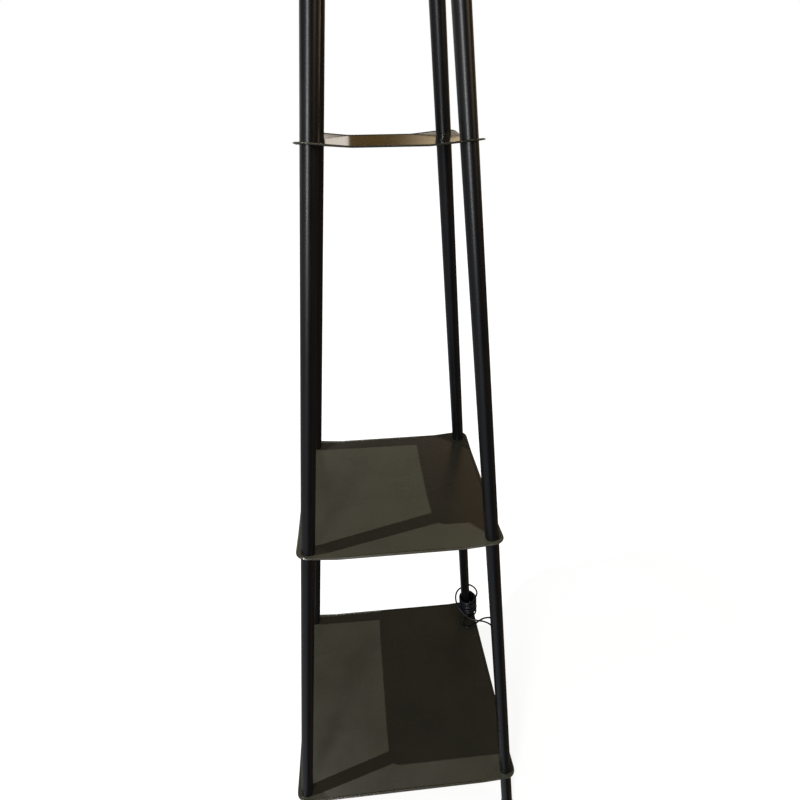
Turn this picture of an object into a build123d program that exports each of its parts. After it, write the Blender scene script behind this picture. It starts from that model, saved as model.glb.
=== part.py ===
from build123d import *
import os
from math import atan, cos, pi, radians, sin, sqrt, tan

os.makedirs("parts", exist_ok=True)

# A floor lamp on four leaning tube posts that carry three thin steel shelves.
# The origin is on the floor, in the middle of the four posts. +Z is up, -Y is the front.

# ---- Tower: heights are where the axis of a post crosses a sheet ----
BOTTOM_SHELF_Z = 102.0
MIDDLE_SHELF_Z = 614.0
TOP_SHELF_Z = 1106.0
TOP_PLATE_Z = 1378.0
FLOOR_SPACING = 368.3  # between post centres along one side, at the floor
LEAN = 0.0948  # how far a post leans in, in X and in Y, for each mm of height

# ---- Post tubes and the joints in them ----
TUBE_OD = 19.05
TUBE_WALL = 1.0
SEAT_GAP = 0.1  # paint between a tube's end and a sheet
STUD_OD = 9.8
STUD_BORE = 6.5
STUD_REACH = 12.0  # how far a stud goes into the tube on each side of a sheet
STUD_CLEARANCE = 0.1  # all round, in a bush
STUD_HOLE_CLEARANCE = 0.3  # all round, in a sheet
BUSH_LENGTH = 14.0
BUSH_CLEARANCE = 0.05  # all round, in a tube
FOOT_OD = 21.0
FOOT_HEAD = 9.0
FOOT_SPIGOT = 14.0
FOOT_EDGE = 1.5

# ---- Shelves ----
SHELF_T = 1.2
SHELF_MARGIN = 16.0  # from a post's centre to the sheet's edge
EAR_SEAT = 12.0  # the straight part of a sheet inside a post's centre
TOP_SHELF_FLEX = 64.0  # the width of the bend between the flat middle and the ears
MIDDLE_SHELF_FLEX = 40.0
BOTTOM_SHELF_FLEX = 40.0
TOP_PLATE_T = 2.0
TOP_PLATE_FLEX = 22.0

# ---- Nuts and washers ----
NUT_ACROSS_FLATS = 14.0
CAP_NUT_HEX = 7.0
CAP_NUT_DOME_WALL = 1.2
WASHER_OD = 18.0
WASHER_T = 1.2
LOCKNUT_T = 4.0
NIPPLE_SPARE = 2.0  # nipple that shows below its locknut
NIPPLE_IN_CAP = 7.0

# ---- Lamp holder ----
SADDLE_T = 1.2
SADDLE_WIDTH = 9.0
SADDLE_RISE = 15.0
SADDLE_BEND = 4.0
SADDLE_PAD_OD = 17.0  # the round middle of the strip, with the hole in it
HARP_FOOT = 29.0  # from the middle to each foot of the harp
HARP_BULGE = 56.0
HARP_HEIGHT = 168.0
HARP_WIRE = 3.2
HARP_STRAIGHT = 22.0  # upright at each foot
HARP_SIDE_START = 67.0  # from the feet up to the widest part
HARP_SIDE = 47.0  # upright at the widest part
HARP_CROWN_HALF = 34.0  # from the middle to where the bow turns over
HARP_CROWN_DROP = 10.0
HARP_SHOULDER_D = 14.0
HARP_SHOULDER_T = 2.0
FERRULE_LENGTH = 18.0
FERRULE_WALL = 1.4
FERRULE_CLEARANCE = 0.1
PIN_LENGTH = 8.0
CAP_R = 17.0
CAP_HEIGHT = 20.0
CAP_WALL = 0.8
CAP_SHOULDER = 7.0
COLLAR_WALL = 2.0  # of the threaded collar round the nipple
SHELL_WALL = 0.6
SHELL_LENGTH = 50.0
SLEEVE_WALL = 0.6
LAYER_GAP = 0.2  # between the cap, the shell, the sleeve and the body
BODY_START = 12.0  # above the bottom of the cap
BODY_HEIGHT = 21.0
SCREW_SHELL_R = 13.2
SCREW_SHELL_WALL = 0.4
SCREW_SHELL_LENGTH = 24.0
CONTACT_T = 0.5
CONTACT_WIDTH = 5.0
CONTACT_RISE = 3.0
CONTACT_LENGTH = 9.0

# ---- Switch ----
SHAFT_R = 2.0
SHAFT_CLEARANCE = 0.05
SHAFT_SLOT_CLEARANCE = 0.6
SHAFT_INSIDE = 11.0  # of the shaft's length that is in the body
SHAFT_Z = 24.0  # above the bottom of the cap
KNOB_GAP = 1.2
KNOB_R = 6.5
KNOB_LENGTH = 13.0
KNOB_FLUTES = 10
KNOB_FLUTE_R = 0.9
KNOB_BORE_DEPTH = 9.0

# ---- Bulb ----
BULB_TIP_T = 3.0
BULB_TIP_R = 4.5
BULB_CAP_R = 12.9
BULB_CAP_LENGTH = 23.0
BULB_NECK_R = 14.0
BULB_BASE_LENGTH = 34.0
BULB_R = 30.0
BULB_WALL = 1.5
BULB_FLARE = ((0.3, 1), (0.15, 1))  # directions of the base's side at its bottom and its top

# ---- Shade ----
SHADE_TOP_R = 140.0
SHADE_BOTTOM_R = 165.0
SHADE_HEIGHT = 230.0
SHADE_T = 1.0
SHADE_FIT = 0.2  # between the skin and its rings
RING_WIRE = 2.5
RING_INSET = 4.0  # from the skin's edge to the ring
SPIDER_DROP = 12.0
SPIDER_OD = 28.0
SPIDER_T = 1.5
SPIDER_ARMS = 3
SPIDER_ARM_WIRE = 2.3
FINIAL_HEIGHT = 22.0
FINIAL_R = 8.0
FINIAL_FOOT_R = 6.0
FINIAL_NECK_R = 4.8
FINIAL_NECK_RISE = 4.4  # from the finial's foot up to its neck
FINIAL_BELLY_RISE = 13.6  # from its foot up to its widest part
HARP_STUB_D = 6.2
HARP_STUB_LENGTH = 12.0
HARP_STUB_CLEARANCE = 0.15

# ---- Lead and cord ----
CORD_D = 3.6
ARC_SHARE = 0.45  # of the shorter run beside a corner that its arc takes up
LEAD_HOLE_DROP = 55.0  # from the top plate down to where the lead goes into its post
CORD_HOLE_RISE = 57.0  # from the bottom shelf up to where the cord comes out of its post
CORD_HOLE_TURN = 45.0  # degrees round the post, from facing outwards to facing the back
GROMMET_R = 3.5
GROMMET_FLANGE_R = 4.6
GROMMET_FLANGE_T = 1.3
GROMMET_CLEARANCE = 0.1
GROMMET_BORE_CLEARANCE = 0.3
LEAD_IN_RUN = 12.0  # the straight start of the cord, out of its grommet
LEAD_BEND = 18.0
LEAD_TURN = 7.0
COIL_R = 19.2
COIL_HEIGHT = 46.5
COIL_SHIFT = (1.4, -5.7)  # from the post's axis, outwards and sideways
COIL_GAP = 0.3
PLUG_NECK = 12.0
PLUG_LENGTH = 25.0
PLUG_WIDTH = 22.0
PLUG_T = 13.0
PLUG_CORNER = 5.0
PLUG_NECK_R = 3.2
BLADE_LENGTH = 16.0
BLADE_WIDTH = 6.3
BLADE_T = 1.5
BLADE_PITCH = 12.7

# ---- Values worked out from the sizes above ----
TILT = atan(LEAN * sqrt(2))
SLANT = sqrt(1 + 2 * LEAN**2)  # length along a post for each mm of height
TUBE_R = TUBE_OD / 2
TUBE_BORE_R = TUBE_R - TUBE_WALL
STUD_R = STUD_OD / 2
BUSH_R = TUBE_BORE_R - BUSH_CLEARANCE
CORD_R = CORD_D / 2
CORNERS = {
    "left_front": (-1, -1),
    "right_front": (1, -1),
    "right_back": (1, 1),
    "left_back": (-1, 1),
}
LEAD_CORNER = CORNERS["right_back"]


def save(item, name):
    """Label a finished piece and write it to a file of its own."""
    item.part.label = name
    export_step(item.part, f"parts/{name}.step")


def spacing(height):
    """The distance between post centres along one side, at a height."""
    return FLOOR_SPACING - 2 * LEAN * height


def reach(height):
    """The distance from the middle of the lamp to a post's centre, at a height."""
    return spacing(height) / sqrt(2)


def post_plane(corner, height):
    """The plane square to a post at a height, with X outwards and Z up the post."""
    side_x, side_y = corner
    half = spacing(height) / 2
    return Plane(
        origin=(side_x * half, side_y * half, height),
        x_dir=(side_x, side_y, 2 * LEAN),
        z_dir=(-side_x * LEAN, -side_y * LEAN, 1),
    )


def bend_of(flex):
    return flex / sin(TILT)


def middle_of_sheet(height, flex):
    """The height of a sheet's flat middle, halfway through its thickness."""
    return height - EAR_SEAT * tan(TILT) - bend_of(flex) * (1 - cos(TILT))


# ============================== shelves ==============================
def make_sheet(height, flex, thickness):
    """A rounded square sheet whose corners turn up square to the posts, with a hole for each."""
    flat = reach(height) - EAR_SEAT - flex
    ear = (EAR_SEAT + 2 * SHELF_MARGIN) / cos(TILT)
    tilt_degrees = TILT * 180 / pi
    bend = bend_of(flex)
    middle = middle_of_sheet(height, flex)
    side = spacing(height) + 2 * SHELF_MARGIN
    with BuildPart() as sheet:
        with BuildSketch(Plane.XZ):
            with BuildLine():
                under = Line((0, middle - thickness / 2), (flat, middle - thickness / 2))
                outer_turn = JernArc(under @ 1, (1, 0), bend + thickness / 2, tilt_degrees)
                ear_under = PolarLine(outer_turn @ 1, ear, tilt_degrees)
                rim = PolarLine(ear_under @ 1, thickness, tilt_degrees + 90)
                ear_over = PolarLine(rim @ 1, ear, tilt_degrees + 180)
                inner_turn = JernArc(ear_over @ 1, ear_over % 1, bend - thickness / 2, -tilt_degrees)
                over = Line(inner_turn @ 1, (0, middle + thickness / 2))
                Line(over @ 1, under @ 0)
            make_face()
        revolve(axis=Axis.Z)
        with BuildSketch(Plane.XY.offset(height - side / 2)):
            RectangleRounded(side, side, SHELF_MARGIN)
        extrude(amount=side, mode=Mode.INTERSECT)
        for corner in CORNERS.values():
            with BuildSketch(post_plane(corner, height)):
                Circle(STUD_R + STUD_HOLE_CLEARANCE)
            extrude(amount=SHELF_MARGIN, both=True, mode=Mode.SUBTRACT)
    return sheet


bottom_shelf = make_sheet(BOTTOM_SHELF_Z, BOTTOM_SHELF_FLEX, SHELF_T)
save(bottom_shelf, "bottom_shelf")
middle_shelf = make_sheet(MIDDLE_SHELF_Z, MIDDLE_SHELF_FLEX, SHELF_T)
save(middle_shelf, "middle_shelf")
top_shelf = make_sheet(TOP_SHELF_Z, TOP_SHELF_FLEX, SHELF_T)
save(top_shelf, "top_shelf")

plate_blank = make_sheet(TOP_PLATE_Z, TOP_PLATE_FLEX, TOP_PLATE_T)
plate_middle = middle_of_sheet(TOP_PLATE_Z, TOP_PLATE_FLEX)
with BuildPart() as top_plate:
    add(plate_blank.part)
    with BuildSketch(Plane.XY.offset(plate_middle)):
        Circle(STUD_R + STUD_HOLE_CLEARANCE)
    extrude(amount=TOP_PLATE_T, both=True, mode=Mode.SUBTRACT)
save(top_plate, "top_plate")


# ============================== posts ==============================
SHELF_SEAT = SHELF_T / 2 + SEAT_GAP
PLATE_SEAT = TOP_PLATE_T / 2 + SEAT_GAP
HOLE_R = GROMMET_R + GROMMET_CLEARANCE
lead_plane = post_plane(LEAD_CORNER, TOP_PLATE_Z).offset(-LEAD_HOLE_DROP)
cord_plane = post_plane(LEAD_CORNER, BOTTOM_SHELF_Z).offset(CORD_HOLE_RISE)
cord_way_out = cord_plane.x_dir.rotate(Axis((0, 0, 0), cord_plane.z_dir), CORD_HOLE_TURN)
# The lead goes in on the side that faces the middle, and the cord comes out at the back.
lead_hole_plane = Plane(lead_plane.origin, x_dir=lead_plane.z_dir, z_dir=-lead_plane.x_dir)
cord_hole_plane = Plane(cord_plane.origin, x_dir=cord_plane.z_dir, z_dir=cord_way_out)


def make_post(corner, low, high, low_seat, high_seat, hole_plane=None):
    """One tube between two sheets, square cut, with a side hole where the lead needs one."""
    with BuildPart() as tube:
        with BuildSketch(post_plane(corner, low).offset(low_seat)):
            Circle(TUBE_R)
            Circle(TUBE_BORE_R, mode=Mode.SUBTRACT)
        extrude(amount=(high - low) * SLANT - low_seat - high_seat)
        if hole_plane is not None:
            with BuildSketch(hole_plane):
                Circle(HOLE_R)
            extrude(amount=TUBE_OD, mode=Mode.SUBTRACT)
    return tube


for corner_name, corner in CORNERS.items():
    has_lead = corner == LEAD_CORNER
    leg = make_post(corner, 0, BOTTOM_SHELF_Z, FOOT_HEAD, SHELF_SEAT)
    save(leg, f"leg_{corner_name}")
    cord_hole = cord_hole_plane if has_lead else None
    lower_post = make_post(
        corner, BOTTOM_SHELF_Z, MIDDLE_SHELF_Z, SHELF_SEAT, SHELF_SEAT, cord_hole
    )
    save(lower_post, f"lower_post_{corner_name}")
    middle_post = make_post(corner, MIDDLE_SHELF_Z, TOP_SHELF_Z, SHELF_SEAT, SHELF_SEAT)
    save(middle_post, f"middle_post_{corner_name}")
    lead_hole = lead_hole_plane if has_lead else None
    upper_post = make_post(corner, TOP_SHELF_Z, TOP_PLATE_Z, SHELF_SEAT, PLATE_SEAT, lead_hole)
    save(upper_post, f"upper_post_{corner_name}")

# ---- Plastic feet, pushed into the legs and cut level with the floor ----
for corner_name, corner in CORNERS.items():
    with BuildPart() as foot:
        with BuildSketch(post_plane(corner, 0).offset(-FOOT_HEAD)):
            Circle(FOOT_OD / 2)
        extrude(amount=2 * FOOT_HEAD)
        fillet(foot.edges().group_by(Axis.Z)[-1], FOOT_EDGE)
        with BuildSketch(post_plane(corner, 0).offset(FOOT_HEAD)):
            Circle(BUSH_R)
        extrude(amount=FOOT_SPIGOT)
        split(bisect_by=Plane.XY, keep=Keep.TOP)
    save(foot, f"foot_{corner_name}")

# ============================== joints in the tubes ==============================
SHELF_HEIGHTS = (BOTTOM_SHELF_Z, MIDDLE_SHELF_Z, TOP_SHELF_Z)
with BuildPart() as joining_studs:
    for height in SHELF_HEIGHTS:
        for corner in CORNERS.values():
            with BuildSketch(post_plane(corner, height)):
                Circle(STUD_R)
                Circle(STUD_BORE / 2, mode=Mode.SUBTRACT)
            extrude(amount=STUD_REACH, both=True)
save(joining_studs, "joining_studs")

with BuildPart() as tube_bushes:
    for corner in CORNERS.values():
        starts = [post_plane(corner, TOP_PLATE_Z).offset(-PLATE_SEAT - BUSH_LENGTH)]
        for height in SHELF_HEIGHTS:
            starts.append(post_plane(corner, height).offset(SHELF_SEAT))
            starts.append(post_plane(corner, height).offset(-SHELF_SEAT - BUSH_LENGTH))
        for start in starts:
            with BuildSketch(start):
                Circle(BUSH_R)
                Circle(STUD_R + STUD_CLEARANCE, mode=Mode.SUBTRACT)
            extrude(amount=BUSH_LENGTH)
save(tube_bushes, "tube_bushes")

TOP_STUD_ABOVE = TOP_PLATE_T / 2 + WASHER_T + CAP_NUT_HEX
with BuildPart() as top_studs:
    for corner in CORNERS.values():
        with BuildSketch(post_plane(corner, TOP_PLATE_Z).offset(-STUD_REACH)):
            Circle(STUD_R)
            Circle(STUD_BORE / 2, mode=Mode.SUBTRACT)
        extrude(amount=STUD_REACH + TOP_STUD_ABOVE)
save(top_studs, "top_studs")

with BuildPart() as top_washers:
    for corner in CORNERS.values():
        with BuildSketch(post_plane(corner, TOP_PLATE_Z).offset(PLATE_SEAT)):
            Circle(WASHER_OD / 2)
            Circle(STUD_R + STUD_CLEARANCE, mode=Mode.SUBTRACT)
        extrude(amount=WASHER_T)
save(top_washers, "top_washers")

NUT_BORE_R = STUD_R + STUD_CLEARANCE
NUT_SEAT = PLATE_SEAT + WASHER_T
with BuildPart() as cap_nuts:
    for corner in CORNERS.values():
        nut_plane = post_plane(corner, TOP_PLATE_Z).offset(NUT_SEAT)
        with BuildSketch(nut_plane):
            RegularPolygon(NUT_ACROSS_FLATS / 2, 6, major_radius=False)
        extrude(amount=CAP_NUT_HEX)
        with Locations(nut_plane.offset(CAP_NUT_HEX)):
            Sphere(NUT_BORE_R + CAP_NUT_DOME_WALL)
    for corner in CORNERS.values():
        nut_plane = post_plane(corner, TOP_PLATE_Z).offset(NUT_SEAT)
        with BuildSketch(nut_plane):
            Circle(NUT_BORE_R)
        extrude(amount=CAP_NUT_HEX, mode=Mode.SUBTRACT)
save(cap_nuts, "cap_nuts")

# ============================== lamp holder ==============================
PLATE_TOP = plate_middle + TOP_PLATE_T / 2
PLATE_BOTTOM = plate_middle - TOP_PLATE_T / 2
CAP_BOTTOM = PLATE_TOP + SADDLE_T

with BuildPart() as nipple_washer:
    with BuildSketch(Plane.XY.offset(PLATE_BOTTOM - WASHER_T)):
        Circle(WASHER_OD / 2)
        Circle(STUD_R + STUD_CLEARANCE, mode=Mode.SUBTRACT)
    extrude(amount=WASHER_T)
save(nipple_washer, "nipple_washer")

LOCKNUT_BOTTOM = PLATE_BOTTOM - WASHER_T - LOCKNUT_T
with BuildPart() as nipple_locknut:
    with BuildSketch(Plane.XY.offset(LOCKNUT_BOTTOM)):
        RegularPolygon(NUT_ACROSS_FLATS / 2, 6, major_radius=False)
        Circle(STUD_R + STUD_CLEARANCE, mode=Mode.SUBTRACT)
    extrude(amount=LOCKNUT_T)
save(nipple_locknut, "nipple_locknut")

NIPPLE_BOTTOM = LOCKNUT_BOTTOM - NIPPLE_SPARE
with BuildPart() as centre_nipple:
    with BuildSketch(Plane.XY.offset(NIPPLE_BOTTOM)):
        Circle(STUD_R)
        Circle(STUD_BORE / 2, mode=Mode.SUBTRACT)
    extrude(amount=CAP_BOTTOM + NIPPLE_IN_CAP - NIPPLE_BOTTOM)
save(centre_nipple, "centre_nipple")

# ---- Saddle: a bent strip with a round pin on each end ----
HARP_R = HARP_WIRE / 2
PIN_BOTTOM = PLATE_TOP + SADDLE_RISE
SADDLE_SPAN = 2 * HARP_FOOT + SADDLE_T
ON_BASE = (Align.CENTER, Align.MIN)
with BuildPart() as harp_saddle:
    with BuildSketch(Plane.XZ):
        with Locations((0, PLATE_TOP)):
            Rectangle(SADDLE_SPAN, SADDLE_RISE, align=ON_BASE)
        with Locations((0, CAP_BOTTOM)):
            Rectangle(SADDLE_SPAN - 2 * SADDLE_T, SADDLE_RISE, align=ON_BASE, mode=Mode.SUBTRACT)
    extrude(amount=SADDLE_WIDTH / 2, both=True)
    fillet(harp_saddle.edges().filter_by(Axis.Y).group_by(Axis.Z)[0], SADDLE_BEND)
    with BuildSketch(Plane.XY.offset(PLATE_TOP)):
        Circle(SADDLE_PAD_OD / 2)
    extrude(amount=SADDLE_T)
    with BuildSketch(Plane.XY.offset(PLATE_TOP)):
        Circle(STUD_R + STUD_CLEARANCE)
    extrude(amount=SADDLE_T, mode=Mode.SUBTRACT)
    with BuildSketch(Plane.XY.offset(PIN_BOTTOM)):
        with Locations((-HARP_FOOT, 0), (HARP_FOOT, 0)):
            Circle(HARP_R)
    extrude(amount=PIN_LENGTH)
save(harp_saddle, "harp_saddle")

HARP_BOTTOM = PIN_BOTTOM + PIN_LENGTH
with BuildPart() as harp_ferrules:
    with BuildSketch(Plane.XY.offset(PIN_BOTTOM)):
        with Locations((-HARP_FOOT, 0), (HARP_FOOT, 0)):
            Circle(HARP_R + FERRULE_CLEARANCE + FERRULE_WALL)
            Circle(HARP_R + FERRULE_CLEARANCE, mode=Mode.SUBTRACT)
    extrude(amount=FERRULE_LENGTH)
save(harp_ferrules, "harp_ferrules")


def bend_radii(points):
    """The radius at each corner of a route: a share of its shorter run over tan(half its turn)."""
    radii = []
    for before, here, after in zip(points, points[1:], points[2:]):
        run_in = Vector(*here) - Vector(*before)
        run_out = Vector(*after) - Vector(*here)
        shorter = min(run_in.length, run_out.length)
        radii.append(ARC_SHARE * shorter / tan(radians(run_in.get_angle(run_out)) / 2))
    return radii


# ---- Harp: a wire bow around the bulb, with a threaded stub on its top ----
HARP_TOP = HARP_BOTTOM + HARP_HEIGHT
half_bow = [
    (HARP_FOOT, 0, HARP_BOTTOM),
    (HARP_FOOT, 0, HARP_BOTTOM + HARP_STRAIGHT),
    (HARP_BULGE, 0, HARP_BOTTOM + HARP_SIDE_START),
    (HARP_BULGE, 0, HARP_BOTTOM + HARP_SIDE_START + HARP_SIDE),
    (HARP_CROWN_HALF, 0, HARP_TOP - HARP_CROWN_DROP),
    (HARP_SHOULDER_D, 0, HARP_TOP),
]
bow = half_bow + [(-x, y, z) for x, y, z in reversed(half_bow)]
SHOULDER_TOP = HARP_TOP + HARP_R + HARP_SHOULDER_T
with BuildPart() as harp:
    with BuildLine():
        FilletPolyline(*bow, radius=bend_radii(bow))
    with BuildSketch(Plane.XY.offset(HARP_BOTTOM)):
        with Locations((HARP_FOOT, 0)):
            Circle(HARP_R)
    sweep()
    with BuildSketch(Plane.XY.offset(HARP_TOP)):
        Circle(HARP_SHOULDER_D / 2)
    extrude(amount=HARP_R + HARP_SHOULDER_T)
    with BuildSketch(Plane.XY.offset(SHOULDER_TOP)):
        Circle(HARP_STUB_D / 2)
    extrude(amount=HARP_STUB_LENGTH)
save(harp, "harp")

# ---- Socket, from its outside in ----
SHELL_R = CAP_R - CAP_WALL - LAYER_GAP
SLEEVE_R = SHELL_R - SHELL_WALL - LAYER_GAP
BODY_R = SLEEVE_R - SLEEVE_WALL - LAYER_GAP
COLLAR_BORE_R = STUD_R + STUD_CLEARANCE
COLLAR_R = COLLAR_BORE_R + COLLAR_WALL
with BuildPart() as socket_cap:
    with BuildSketch(Plane.XZ):
        with BuildLine():
            Polyline(
                (COLLAR_BORE_R, CAP_BOTTOM),
                (COLLAR_R, CAP_BOTTOM),
                (CAP_R, CAP_BOTTOM + CAP_SHOULDER),
                (CAP_R, CAP_BOTTOM + CAP_HEIGHT),
                (CAP_R - CAP_WALL, CAP_BOTTOM + CAP_HEIGHT),
                (CAP_R - CAP_WALL, CAP_BOTTOM + CAP_SHOULDER + CAP_WALL),
                (COLLAR_R, CAP_BOTTOM + 2 * CAP_WALL),
                (COLLAR_R, CAP_BOTTOM + CAP_SHOULDER),
                (COLLAR_BORE_R, CAP_BOTTOM + CAP_SHOULDER),
                close=True,
            )
        make_face()
    revolve(axis=Axis.Z)
save(socket_cap, "socket_cap")

SHELL_BOTTOM = CAP_BOTTOM + CAP_SHOULDER + 2 * CAP_WALL
SHAFT_HEIGHT = CAP_BOTTOM + SHAFT_Z
shaft_plane = Plane((0, 0, SHAFT_HEIGHT), x_dir=(1, 0, 0), z_dir=(0, -1, 0))


def make_sleeve(radius, wall, bottom, length):
    """A thin tube round the socket's body, with the slot that the switch shaft comes through."""
    with BuildPart() as sleeve:
        with BuildSketch(Plane.XY.offset(bottom)):
            Circle(radius)
            Circle(radius - wall, mode=Mode.SUBTRACT)
        extrude(amount=length)
        with BuildSketch(shaft_plane):
            Circle(SHAFT_R + SHAFT_SLOT_CLEARANCE)
        extrude(amount=CAP_R, mode=Mode.SUBTRACT)
    return sleeve


socket_shell = make_sleeve(SHELL_R, SHELL_WALL, SHELL_BOTTOM, SHELL_LENGTH)
save(socket_shell, "socket_shell")
insulating_sleeve = make_sleeve(SLEEVE_R, SLEEVE_WALL, SHELL_BOTTOM, SHELL_LENGTH - SHELL_WALL)
save(insulating_sleeve, "insulating_sleeve")

BODY_TOP = CAP_BOTTOM + BODY_START + BODY_HEIGHT
with BuildPart() as socket_body:
    with BuildSketch(Plane.XY.offset(CAP_BOTTOM + BODY_START)):
        Circle(BODY_R)
    extrude(amount=BODY_HEIGHT)
    with BuildSketch(shaft_plane.offset(BODY_R - SHAFT_INSIDE)):
        Circle(SHAFT_R + SHAFT_CLEARANCE)
    extrude(amount=SHAFT_INSIDE + 1, mode=Mode.SUBTRACT)
save(socket_body, "socket_body")

with BuildPart() as screw_shell:
    with BuildSketch(Plane.XY.offset(BODY_TOP)):
        Circle(SCREW_SHELL_R + SCREW_SHELL_WALL)
        Circle(SCREW_SHELL_R, mode=Mode.SUBTRACT)
    extrude(amount=SCREW_SHELL_LENGTH)
save(screw_shell, "screw_shell")

with BuildPart() as centre_contact:
    with BuildSketch(Plane.XZ):
        with BuildLine():
            Polyline(
                (-CONTACT_LENGTH, BODY_TOP),
                (-CONTACT_LENGTH / 2, BODY_TOP),
                (0, BODY_TOP + CONTACT_RISE - CONTACT_T),
                (CONTACT_LENGTH / 3, BODY_TOP + CONTACT_RISE - CONTACT_T),
                (CONTACT_LENGTH / 3, BODY_TOP + CONTACT_RISE),
                (-CONTACT_T, BODY_TOP + CONTACT_RISE),
                (-CONTACT_LENGTH / 2 - CONTACT_T, BODY_TOP + CONTACT_T),
                (-CONTACT_LENGTH, BODY_TOP + CONTACT_T),
                close=True,
            )
        make_face()
    extrude(amount=CONTACT_WIDTH / 2, both=True)
save(centre_contact, "centre_contact")

# ============================== switch ==============================
SHAFT_START = BODY_R - SHAFT_INSIDE + SHAFT_CLEARANCE
KNOB_START = CAP_R + KNOB_GAP
with BuildPart() as switch_shaft:
    with BuildSketch(shaft_plane.offset(SHAFT_START)):
        Circle(SHAFT_R)
    extrude(amount=KNOB_START + KNOB_BORE_DEPTH - SHAFT_START)
save(switch_shaft, "switch_shaft")

with BuildPart() as switch_knob:
    with BuildSketch(shaft_plane.offset(KNOB_START)):
        Circle(KNOB_R)
        with PolarLocations(KNOB_R, KNOB_FLUTES):
            Circle(KNOB_FLUTE_R, mode=Mode.SUBTRACT)
    extrude(amount=KNOB_LENGTH)
    chamfer(switch_knob.faces().sort_by(Axis.Y)[0].edges(), KNOB_FLUTE_R / 2)
    with BuildSketch(shaft_plane.offset(KNOB_START)):
        Circle(SHAFT_R)
    extrude(amount=KNOB_BORE_DEPTH, mode=Mode.SUBTRACT)
save(switch_knob, "switch_knob")

# ============================== bulb ==============================
BULB_TIP = BODY_TOP + CONTACT_RISE
BULB_CAP_BOTTOM = BULB_TIP + BULB_TIP_T
BULB_BASE_BOTTOM = BULB_CAP_BOTTOM + BULB_CAP_LENGTH
BULB_DOME_BOTTOM = BULB_BASE_BOTTOM + BULB_BASE_LENGTH
with BuildPart() as bulb_tip:
    with BuildSketch(Plane.XY.offset(BULB_TIP)):
        Circle(BULB_TIP_R)
    with BuildSketch(Plane.XY.offset(BULB_CAP_BOTTOM)):
        Circle(BULB_CAP_R)
    loft()
save(bulb_tip, "bulb_tip")

with BuildPart() as bulb_cap:
    with BuildSketch(Plane.XY.offset(BULB_CAP_BOTTOM)):
        Circle(BULB_CAP_R)
    extrude(amount=BULB_CAP_LENGTH)
save(bulb_cap, "bulb_cap")

with BuildPart() as bulb_base:
    with BuildSketch(Plane.XZ):
        with BuildLine():
            foot_line = Line((0, BULB_BASE_BOTTOM), (BULB_NECK_R, BULB_BASE_BOTTOM))
            flare = Spline(foot_line @ 1, (BULB_R, BULB_DOME_BOTTOM), tangents=BULB_FLARE)
            top_line = Line(flare @ 1, (0, BULB_DOME_BOTTOM))
            Line(top_line @ 1, foot_line @ 0)
        make_face()
    revolve(axis=Axis.Z)
save(bulb_base, "bulb_base")

with BuildPart() as bulb_dome:
    with Locations((0, 0, BULB_DOME_BOTTOM)):
        Sphere(BULB_R)
        Sphere(BULB_R - BULB_WALL, mode=Mode.SUBTRACT)
    split(bisect_by=Plane.XY.offset(BULB_DOME_BOTTOM), keep=Keep.TOP)
save(bulb_dome, "bulb_dome")

# ============================== shade ==============================
WASHER_PLANE_Z = SHOULDER_TOP
SHADE_RING_Z = WASHER_PLANE_Z + SPIDER_DROP
SHADE_TOP_Z = SHADE_RING_Z + RING_INSET
SHADE_BOTTOM_Z = SHADE_TOP_Z - SHADE_HEIGHT
RING_R = RING_WIRE / 2


def shade_radius(height):
    """The skin's outer radius at a height."""
    share = (SHADE_TOP_Z - height) / SHADE_HEIGHT
    return SHADE_TOP_R + (SHADE_BOTTOM_R - SHADE_TOP_R) * share


def ring_radius(height):
    """The radius of a wire ring whose outside lies just inside the skin."""
    return shade_radius(height + RING_WIRE) - SHADE_T - SHADE_FIT - RING_R


with BuildPart() as shade_skin:
    with BuildSketch(Plane.XZ):
        with BuildLine():
            Polyline(
                (SHADE_TOP_R, SHADE_TOP_Z),
                (SHADE_TOP_R - SHADE_T, SHADE_TOP_Z),
                (SHADE_BOTTOM_R - SHADE_T, SHADE_BOTTOM_Z),
                (SHADE_BOTTOM_R, SHADE_BOTTOM_Z),
                close=True,
            )
        make_face()
    revolve(axis=Axis.Z)
save(shade_skin, "shade_skin")

RING_BOTTOM_Z = SHADE_BOTTOM_Z + RING_INSET
with BuildPart() as shade_bottom_ring:
    with Locations((0, 0, RING_BOTTOM_Z)):
        Torus(ring_radius(RING_BOTTOM_Z), RING_R)
save(shade_bottom_ring, "shade_bottom_ring")

# ---- Top ring, arms and washer are one welded piece ----
TOP_RING_R = ring_radius(SHADE_RING_Z)
ARM_START = SPIDER_OD / 2 - RING_WIRE
WASHER_MIDDLE = WASHER_PLANE_Z + SPIDER_T / 2
with BuildPart() as shade_spider:
    with Locations((0, 0, SHADE_RING_Z)):
        Torus(TOP_RING_R, RING_R)
    for arm in range(SPIDER_ARMS):
        angle = 2 * pi * arm / SPIDER_ARMS + pi / 2
        outwards = Vector(cos(angle), sin(angle), 0)
        inner_end = outwards * ARM_START + Vector(0, 0, WASHER_MIDDLE + RING_R)
        outer_end = outwards * TOP_RING_R + Vector(0, 0, SHADE_RING_Z)
        arm_line = outer_end - inner_end
        with BuildSketch(Plane(inner_end, z_dir=arm_line)):
            Circle(SPIDER_ARM_WIRE / 2)
        extrude(amount=arm_line.length)
    with BuildSketch(Plane.XY.offset(WASHER_PLANE_Z)):
        Circle(SPIDER_OD / 2)
    extrude(amount=SPIDER_T)
    with BuildSketch(Plane.XY.offset(WASHER_PLANE_Z)):
        Circle(HARP_STUB_D / 2 + HARP_STUB_CLEARANCE)
    extrude(amount=SPIDER_T + RING_WIRE, mode=Mode.SUBTRACT)
save(shade_spider, "shade_spider")

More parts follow.
